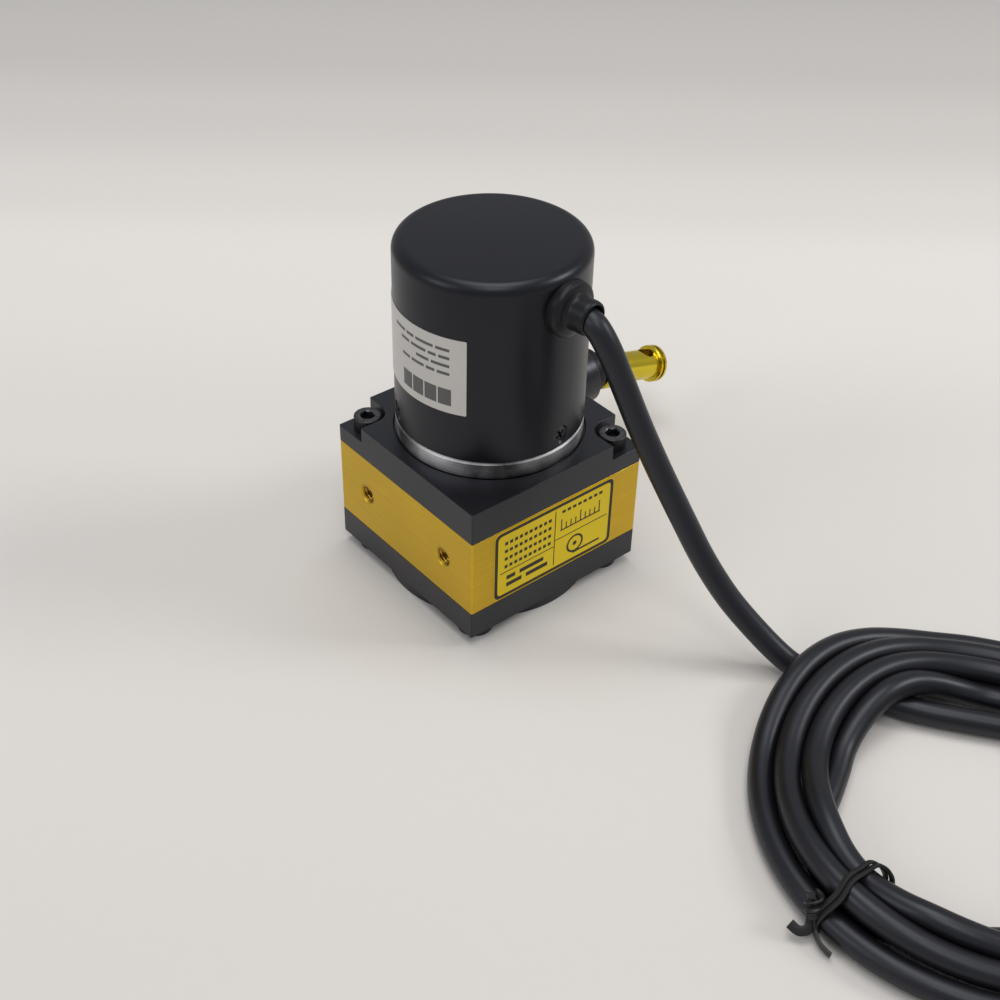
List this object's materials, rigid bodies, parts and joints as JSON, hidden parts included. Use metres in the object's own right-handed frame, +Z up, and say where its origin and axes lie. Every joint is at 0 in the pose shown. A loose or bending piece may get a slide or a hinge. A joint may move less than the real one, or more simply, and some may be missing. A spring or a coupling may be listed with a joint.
{
  "type": "draw wire encoder",
  "caption": "Draw wire encoder: square housing with a spring-return wire drum, a cylindrical rotary encoder on top, a pull wire with an eye fitting and a coiled signal cable.",
  "frame": {"origin": "on the drum axis, at the base face that the unit stands on", "axes": "+Z up along the drum and encoder axis; +X the way the draw wire pulls out; -X the face with the two tapped mounting holes"},
  "size_m": [0.1012, 0.1864, 0.0777],
  "materials": {
    "black_anodised": "matte black anodised",
    "gold_anodised": "brushed gold anodised",
    "yellow_gold": "bright gold anodised",
    "powder_black": "satin black powder coat",
    "turned_steel": "turned bare aluminium",
    "bearing_steel": "polished",
    "black_oxide_steel": "black oxide",
    "spring_steel": "blued spring steel",
    "plain_steel": "ground",
    "zinc_steel": "zinc plated",
    "brass": "machined",
    "wire_rope": "stranded stainless",
    "ceramic": "polished ceramic",
    "black_rubber": "matte",
    "cable_pvc": "satin sheath",
    "tie_plastic": "matte",
    "silver_label": "satin foil",
    "yellow_label": "satin film",
    "circuit_board": "solder mask",
    "black_plastic": "moulded",
    "natural_plastic": "moulded",
    "lead_insulation": "insulated wire",
    "disc_glass": "chromed glass"
  },
  "bodies": {
    "housing": {"spring_cover": "black_anodised", "cover_screws": "black_oxide_steel", "spring_anchor": "plain_steel", "spiral_spring": "spring_steel", "spring_plate": "zinc_steel", "drum_housing": "gold_anodised", "top_plate": "black_anodised", "plate_screws": "black_oxide_steel", "flange_screws": "black_oxide_steel", "lower_outer_race": "bearing_steel", "upper_outer_race": "bearing_steel", "encoder_flange": "turned_steel", "encoder_outer_races": "bearing_steel", "encoder_can": "powder_black", "can_screws": "black_oxide_steel", "read_head": "black_plastic", "board_spacers": "brass", "encoder_board": "circuit_board", "board_screws": "zinc_steel", "cable_header": "natural_plastic", "board_leads": "lead_insulation", "rating_label": "silver_label", "side_label": "yellow_label", "cable_grommet": "black_rubber", "wire_nozzle": "black_anodised", "nozzle_bush": "ceramic", "wire_bumper": "black_rubber", "signal_cable": "cable_pvc", "cable_coil": "cable_pvc", "cable_tie": "tie_plastic"},
    "drum_assembly": {"drum_shaft": "plain_steel", "drum": "turned_steel", "drum_key": "plain_steel", "wound_wire": "wire_rope", "lower_inner_race": "bearing_steel", "upper_inner_race": "bearing_steel", "shaft_coupling": "turned_steel", "coupling_screws": "black_oxide_steel", "encoder_shaft": "plain_steel", "encoder_inner_races": "bearing_steel", "disc_hub": "turned_steel", "code_disc": "disc_glass"},
    "lower_ball_set": {"lower_cage": "brass", "lower_balls": "bearing_steel"},
    "upper_ball_set": {"upper_cage": "brass", "upper_balls": "bearing_steel"},
    "encoder_lower_ball_set": {"encoder_lower_cage": "brass", "encoder_lower_balls": "bearing_steel"},
    "encoder_upper_ball_set": {"encoder_upper_cage": "brass", "encoder_upper_balls": "bearing_steel"},
    "wire_run": {"draw_wire": "wire_rope"},
    "wire_fitting": {"wire_tail": "wire_rope", "wire_ferrule": "plain_steel", "wire_end": "yellow_gold"}
  },
  "joints": [
    {"name": "drum_spin", "type": "hinge", "parent": "housing", "child": "drum_assembly", "pos_m": [0, 0, 0.02], "axis": [0, 0, -1], "range_deg": [0, 3600], "stiffness_Nm_per_rad": 0.0006, "springref_deg": -8594.37, "deforming": ["spiral_spring"]},
    {"name": "wire_pull", "type": "slide", "parent": "housing", "child": "wire_run", "axis": [1, 0, 0], "range_m": [0, 1], "deforming": ["draw_wire"]},
    {"name": "fitting_tilt", "type": "hinge", "parent": "wire_run", "child": "wire_fitting", "pos_m": [0.0412, 0.01591, 0.0216], "axis": [0, -1, 0], "range_deg": [0, 31.6]},
    {"name": "lower_ball_set_spin", "type": "hinge", "parent": "housing", "child": "lower_ball_set", "pos_m": [0, 0, 0.00295], "axis": [0, 0, -1], "range_deg": [0, 1440]},
    {"name": "upper_ball_set_spin", "type": "hinge", "parent": "housing", "child": "upper_ball_set", "pos_m": [0, 0, 0.02925], "axis": [0, 0, -1], "range_deg": [0, 1440]},
    {"name": "encoder_lower_ball_set_spin", "type": "hinge", "parent": "housing", "child": "encoder_lower_ball_set", "pos_m": [0, 0, 0.04095], "axis": [0, 0, -1], "range_deg": [0, 1440]},
    {"name": "encoder_upper_ball_set_spin", "type": "hinge", "parent": "housing", "child": "encoder_upper_ball_set", "pos_m": [0, 0, 0.04835], "axis": [0, 0, -1], "range_deg": [0, 1440]}
  ],
  "couplings": [
    {"joint": "wire_pull", "follows": "drum_spin", "m_per_rad": 0.015915},
    {"joint": "lower_ball_set_spin", "follows": "drum_spin", "ratio": 0.395},
    {"joint": "upper_ball_set_spin", "follows": "drum_spin", "ratio": 0.395},
    {"joint": "encoder_lower_ball_set_spin", "follows": "drum_spin", "ratio": 0.395},
    {"joint": "encoder_upper_ball_set_spin", "follows": "drum_spin", "ratio": 0.395}
  ]
}
